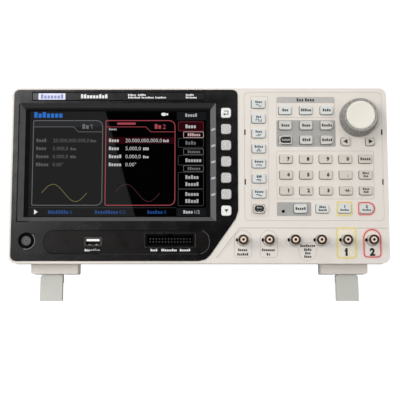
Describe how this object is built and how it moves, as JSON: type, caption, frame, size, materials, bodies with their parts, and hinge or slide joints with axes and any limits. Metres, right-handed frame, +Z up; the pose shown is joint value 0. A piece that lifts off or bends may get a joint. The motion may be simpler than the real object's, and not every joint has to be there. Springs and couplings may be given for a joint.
{
  "type": "function generator",
  "caption": "Bench function generator with a tapered case on tilt legs, a display with soft keys, a keypad, a rotary knob and a row of coaxial jacks.",
  "frame": {"origin": "on the floor, under the middle of the overall width and depth", "axes": "+X to the operator's right, +Y from the front panel towards the back, +Z up"},
  "size_m": [0.385, 0.2588, 0.2184],
  "materials": {
    "case_white": "matte moulded plastic",
    "bezel_black": "satin black plastic",
    "panel_white": "matte plastic",
    "key_white": "matte plastic",
    "key_dark": "satin plastic",
    "knob_grey": "matte soft-touch plastic",
    "knob_ivory": "satin plastic",
    "leg_grey": "matte plastic",
    "screen": "glossy dark display",
    "board_green": "solder-masked circuit board",
    "jack_nickel": "nickel-plated metal"
  },
  "bodies": {
    "case": {"display_bezel": "bezel_black", "display_module": "screen", "front_case": "case_white", "front_io_board": "board_green", "key_board": "board_green", "key_panel": "panel_white", "main_board": "board_green", "output_board": "jack_nickel", "power_supply": "board_green", "rear_case": "case_white"},
    "knob": {"knob_grip": "knob_grey", "knob_hub": "knob_ivory"},
    "key_0": {"key_0": "key_white"},
    "key_1": {"key_1": "key_white"},
    "key_2": {"key_2": "key_white"},
    "key_3": {"key_3": "key_white"},
    "key_4": {"key_4": "key_white"},
    "key_5": {"key_5": "key_white"},
    "key_6": {"key_6": "key_white"},
    "key_7": {"key_7": "key_white"},
    "key_8": {"key_8": "key_white"},
    "key_9": {"key_9": "key_white"},
    "key_arbitrary": {"key_arbitrary": "key_white"},
    "key_arrow_left": {"key_arrow_left": "key_white"},
    "key_arrow_right": {"key_arrow_right": "key_white"},
    "key_back": {"key_back": "key_white"},
    "key_burst": {"key_burst": "key_white"},
    "key_cancel": {"key_cancel": "key_white"},
    "key_channel": {"key_channel": "key_white"},
    "key_counter": {"key_counter": "key_white"},
    "key_delete": {"key_delete": "key_white"},
    "key_digital": {"key_digital": "key_white"},
    "key_enter": {"key_enter": "key_white"},
    "key_harmonic": {"key_harmonic": "key_white"},
    "key_help": {"key_help": "key_white"},
    "key_local": {"key_local": "key_dark"},
    "key_menu_1": {"key_menu_1": "key_white"},
    "key_menu_2": {"key_menu_2": "key_white"},
    "key_menu_3": {"key_menu_3": "key_white"},
    "key_menu_4": {"key_menu_4": "key_white"},
    "key_menu_5": {"key_menu_5": "key_white"},
    "key_modulate": {"key_modulate": "key_white"},
    "key_noise": {"key_noise": "key_white"},
    "key_output_1": {"key_output_1": "key_white"},
    "key_output_2": {"key_output_2": "key_white"},
    "key_page": {"key_page": "key_white"},
    "key_point": {"key_point": "key_white"},
    "key_print": {"key_print": "key_white"},
    "key_pulse": {"key_pulse": "key_white"},
    "key_ramp": {"key_ramp": "key_white"},
    "key_sign": {"key_sign": "key_white"},
    "key_sine": {"key_sine": "key_white"},
    "key_square": {"key_square": "key_white"},
    "key_store": {"key_store": "key_white"},
    "key_sweep": {"key_sweep": "key_white"},
    "key_trigger": {"key_trigger": "key_white"},
    "key_utility": {"key_utility": "key_white"},
    "power_button": {"power_button": "bezel_black"},
    "tilt_leg_left": {"tilt_leg_left": "leg_grey"},
    "tilt_leg_right": {"tilt_leg_right": "leg_grey"}
  },
  "joints": [
    {"name": "tilt_leg_left_fold", "type": "hinge", "parent": "case", "child": "tilt_leg_left", "pos_m": [-0.1515, -0.09788, 0.03078], "axis": [1, 0, 0], "range_deg": [0, 95]},
    {"name": "tilt_leg_right_fold", "type": "hinge", "parent": "case", "child": "tilt_leg_right", "pos_m": [0.1515, -0.09788, 0.03078], "axis": [1, 0, 0], "range_deg": [0, 95]},
    {"name": "knob_turn", "type": "hinge", "parent": "case", "child": "knob", "pos_m": [0.1631, -0.10111, 0.18711], "axis": [0, 0.9921, -0.1253], "continuous": true},
    {"name": "power_button_press", "type": "slide", "parent": "case", "child": "power_button", "axis": [0, 0.9921, -0.1253], "range_m": [0, 0.0012], "stiffness_N_per_m": 900, "springref_m": -0.0003},
    {"name": "key_0_press", "type": "slide", "parent": "case", "child": "key_0", "axis": [0, 0.9921, -0.1253], "range_m": [0, 0.0012], "stiffness_N_per_m": 900, "springref_m": -0.0003},
    {"name": "key_1_press", "type": "slide", "parent": "case", "child": "key_1", "axis": [0, 0.9921, -0.1253], "range_m": [0, 0.0012], "stiffness_N_per_m": 900, "springref_m": -0.0003},
    {"name": "key_2_press", "type": "slide", "parent": "case", "child": "key_2", "axis": [0, 0.9921, -0.1253], "range_m": [0, 0.0012], "stiffness_N_per_m": 900, "springref_m": -0.0003},
    {"name": "key_3_press", "type": "slide", "parent": "case", "child": "key_3", "axis": [0, 0.9921, -0.1253], "range_m": [0, 0.0012], "stiffness_N_per_m": 900, "springref_m": -0.0003},
    {"name": "key_4_press", "type": "slide", "parent": "case", "child": "key_4", "axis": [0, 0.9921, -0.1253], "range_m": [0, 0.0012], "stiffness_N_per_m": 900, "springref_m": -0.0003},
    {"name": "key_5_press", "type": "slide", "parent": "case", "child": "key_5", "axis": [0, 0.9921, -0.1253], "range_m": [0, 0.0012], "stiffness_N_per_m": 900, "springref_m": -0.0003},
    {"name": "key_6_press", "type": "slide", "parent": "case", "child": "key_6", "axis": [0, 0.9921, -0.1253], "range_m": [0, 0.0012], "stiffness_N_per_m": 900, "springref_m": -0.0003},
    {"name": "key_7_press", "type": "slide", "parent": "case", "child": "key_7", "axis": [0, 0.9921, -0.1253], "range_m": [0, 0.0012], "stiffness_N_per_m": 900, "springref_m": -0.0003},
    {"name": "key_8_press", "type": "slide", "parent": "case", "child": "key_8", "axis": [0, 0.9921, -0.1253], "range_m": [0, 0.0012], "stiffness_N_per_m": 900, "springref_m": -0.0003},
    {"name": "key_9_press", "type": "slide", "parent": "case", "child": "key_9", "axis": [0, 0.9921, -0.1253], "range_m": [0, 0.0012], "stiffness_N_per_m": 900, "springref_m": -0.0003},
    {"name": "key_arbitrary_press", "type": "slide", "parent": "case", "child": "key_arbitrary", "axis": [0, 0.9921, -0.1253], "range_m": [0, 0.0012], "stiffness_N_per_m": 900, "springref_m": -0.0003},
    {"name": "key_arrow_left_press", "type": "slide", "parent": "case", "child": "key_arrow_left", "axis": [0, 0.9921, -0.1253], "range_m": [0, 0.0012], "stiffness_N_per_m": 900, "springref_m": -0.0003},
    {"name": "key_arrow_right_press", "type": "slide", "parent": "case", "child": "key_arrow_right", "axis": [0, 0.9921, -0.1253], "range_m": [0, 0.0012], "stiffness_N_per_m": 900, "springref_m": -0.0003},
    {"name": "key_back_press", "type": "slide", "parent": "case", "child": "key_back", "axis": [0, 0.9921, -0.1253], "range_m": [0, 0.0012], "stiffness_N_per_m": 900, "springref_m": -0.0003},
    {"name": "key_burst_press", "type": "slide", "parent": "case", "child": "key_burst", "axis": [0, 0.9921, -0.1253], "range_m": [0, 0.0012], "stiffness_N_per_m": 900, "springref_m": -0.0003},
    {"name": "key_cancel_press", "type": "slide", "parent": "case", "child": "key_cancel", "axis": [0, 0.9921, -0.1253], "range_m": [0, 0.0012], "stiffness_N_per_m": 900, "springref_m": -0.0003},
    {"name": "key_channel_press", "type": "slide", "parent": "case", "child": "key_channel", "axis": [0, 0.9921, -0.1253], "range_m": [0, 0.0012], "stiffness_N_per_m": 900, "springref_m": -0.0003},
    {"name": "key_counter_press", "type": "slide", "parent": "case", "child": "key_counter", "axis": [0, 0.9921, -0.1253], "range_m": [0, 0.0012], "stiffness_N_per_m": 900, "springref_m": -0.0003},
    {"name": "key_delete_press", "type": "slide", "parent": "case", "child": "key_delete", "axis": [0, 0.9921, -0.1253], "range_m": [0, 0.0012], "stiffness_N_per_m": 900, "springref_m": -0.0003},
    {"name": "key_digital_press", "type": "slide", "parent": "case", "child": "key_digital", "axis": [0, 0.9921, -0.1253], "range_m": [0, 0.0012], "stiffness_N_per_m": 900, "springref_m": -0.0003},
    {"name": "key_enter_press", "type": "slide", "parent": "case", "child": "key_enter", "axis": [0, 0.9921, -0.1253], "range_m": [0, 0.0012], "stiffness_N_per_m": 900, "springref_m": -0.0003},
    {"name": "key_harmonic_press", "type": "slide", "parent": "case", "child": "key_harmonic", "axis": [0, 0.9921, -0.1253], "range_m": [0, 0.0012], "stiffness_N_per_m": 900, "springref_m": -0.0003},
    {"name": "key_help_press", "type": "slide", "parent": "case", "child": "key_help", "axis": [0, 0.9921, -0.1253], "range_m": [0, 0.0012], "stiffness_N_per_m": 900, "springref_m": -0.0003},
    {"name": "key_local_press", "type": "slide", "parent": "case", "child": "key_local", "axis": [0, 0.9921, -0.1253], "range_m": [0, 0.0012], "stiffness_N_per_m": 900, "springref_m": -0.0003},
    {"name": "key_menu_1_press", "type": "slide", "parent": "case", "child": "key_menu_1", "axis": [0, 0.9921, -0.1253], "range_m": [0, 0.0012], "stiffness_N_per_m": 900, "springref_m": -0.0003},
    {"name": "key_menu_2_press", "type": "slide", "parent": "case", "child": "key_menu_2", "axis": [0, 0.9921, -0.1253], "range_m": [0, 0.0012], "stiffness_N_per_m": 900, "springref_m": -0.0003},
    {"name": "key_menu_3_press", "type": "slide", "parent": "case", "child": "key_menu_3", "axis": [0, 0.9921, -0.1253], "range_m": [0, 0.0012], "stiffness_N_per_m": 900, "springref_m": -0.0003},
    {"name": "key_menu_4_press", "type": "slide", "parent": "case", "child": "key_menu_4", "axis": [0, 0.9921, -0.1253], "range_m": [0, 0.0012], "stiffness_N_per_m": 900, "springref_m": -0.0003},
    {"name": "key_menu_5_press", "type": "slide", "parent": "case", "child": "key_menu_5", "axis": [0, 0.9921, -0.1253], "range_m": [0, 0.0012], "stiffness_N_per_m": 900, "springref_m": -0.0003},
    {"name": "key_modulate_press", "type": "slide", "parent": "case", "child": "key_modulate", "axis": [0, 0.9921, -0.1253], "range_m": [0, 0.0012], "stiffness_N_per_m": 900, "springref_m": -0.0003},
    {"name": "key_noise_press", "type": "slide", "parent": "case", "child": "key_noise", "axis": [0, 0.9921, -0.1253], "range_m": [0, 0.0012], "stiffness_N_per_m": 900, "springref_m": -0.0003},
    {"name": "key_output_1_press", "type": "slide", "parent": "case", "child": "key_output_1", "axis": [0, 0.9921, -0.1253], "range_m": [0, 0.0012], "stiffness_N_per_m": 900, "springref_m": -0.0003},
    {"name": "key_output_2_press", "type": "slide", "parent": "case", "child": "key_output_2", "axis": [0, 0.9921, -0.1253], "range_m": [0, 0.0012], "stiffness_N_per_m": 900, "springref_m": -0.0003},
    {"name": "key_page_press", "type": "slide", "parent": "case", "child": "key_page", "axis": [0, 0.9921, -0.1253], "range_m": [0, 0.0012], "stiffness_N_per_m": 900, "springref_m": -0.0003},
    {"name": "key_point_press", "type": "slide", "parent": "case", "child": "key_point", "axis": [0, 0.9921, -0.1253], "range_m": [0, 0.0012], "stiffness_N_per_m": 900, "springref_m": -0.0003},
    {"name": "key_print_press", "type": "slide", "parent": "case", "child": "key_print", "axis": [0, 0.9921, -0.1253], "range_m": [0, 0.0012], "stiffness_N_per_m": 900, "springref_m": -0.0003},
    {"name": "key_pulse_press", "type": "slide", "parent": "case", "child": "key_pulse", "axis": [0, 0.9921, -0.1253], "range_m": [0, 0.0012], "stiffness_N_per_m": 900, "springref_m": -0.0003},
    {"name": "key_ramp_press", "type": "slide", "parent": "case", "child": "key_ramp", "axis": [0, 0.9921, -0.1253], "range_m": [0, 0.0012], "stiffness_N_per_m": 900, "springref_m": -0.0003},
    {"name": "key_sign_press", "type": "slide", "parent": "case", "child": "key_sign", "axis": [0, 0.9921, -0.1253], "range_m": [0, 0.0012], "stiffness_N_per_m": 900, "springref_m": -0.0003},
    {"name": "key_sine_press", "type": "slide", "parent": "case", "child": "key_sine", "axis": [0, 0.9921, -0.1253], "range_m": [0, 0.0012], "stiffness_N_per_m": 900, "springref_m": -0.0003},
    {"name": "key_square_press", "type": "slide", "parent": "case", "child": "key_square", "axis": [0, 0.9921, -0.1253], "range_m": [0, 0.0012], "stiffness_N_per_m": 900, "springref_m": -0.0003},
    {"name": "key_store_press", "type": "slide", "parent": "case", "child": "key_store", "axis": [0, 0.9921, -0.1253], "range_m": [0, 0.0012], "stiffness_N_per_m": 900, "springref_m": -0.0003},
    {"name": "key_sweep_press", "type": "slide", "parent": "case", "child": "key_sweep", "axis": [0, 0.9921, -0.1253], "range_m": [0, 0.0012], "stiffness_N_per_m": 900, "springref_m": -0.0003},
    {"name": "key_trigger_press", "type": "slide", "parent": "case", "child": "key_trigger", "axis": [0, 0.9921, -0.1253], "range_m": [0, 0.0012], "stiffness_N_per_m": 900, "springref_m": -0.0003},
    {"name": "key_utility_press", "type": "slide", "parent": "case", "child": "key_utility", "axis": [0, 0.9921, -0.1253], "range_m": [0, 0.0012], "stiffness_N_per_m": 900, "springref_m": -0.0003}
  ]
}
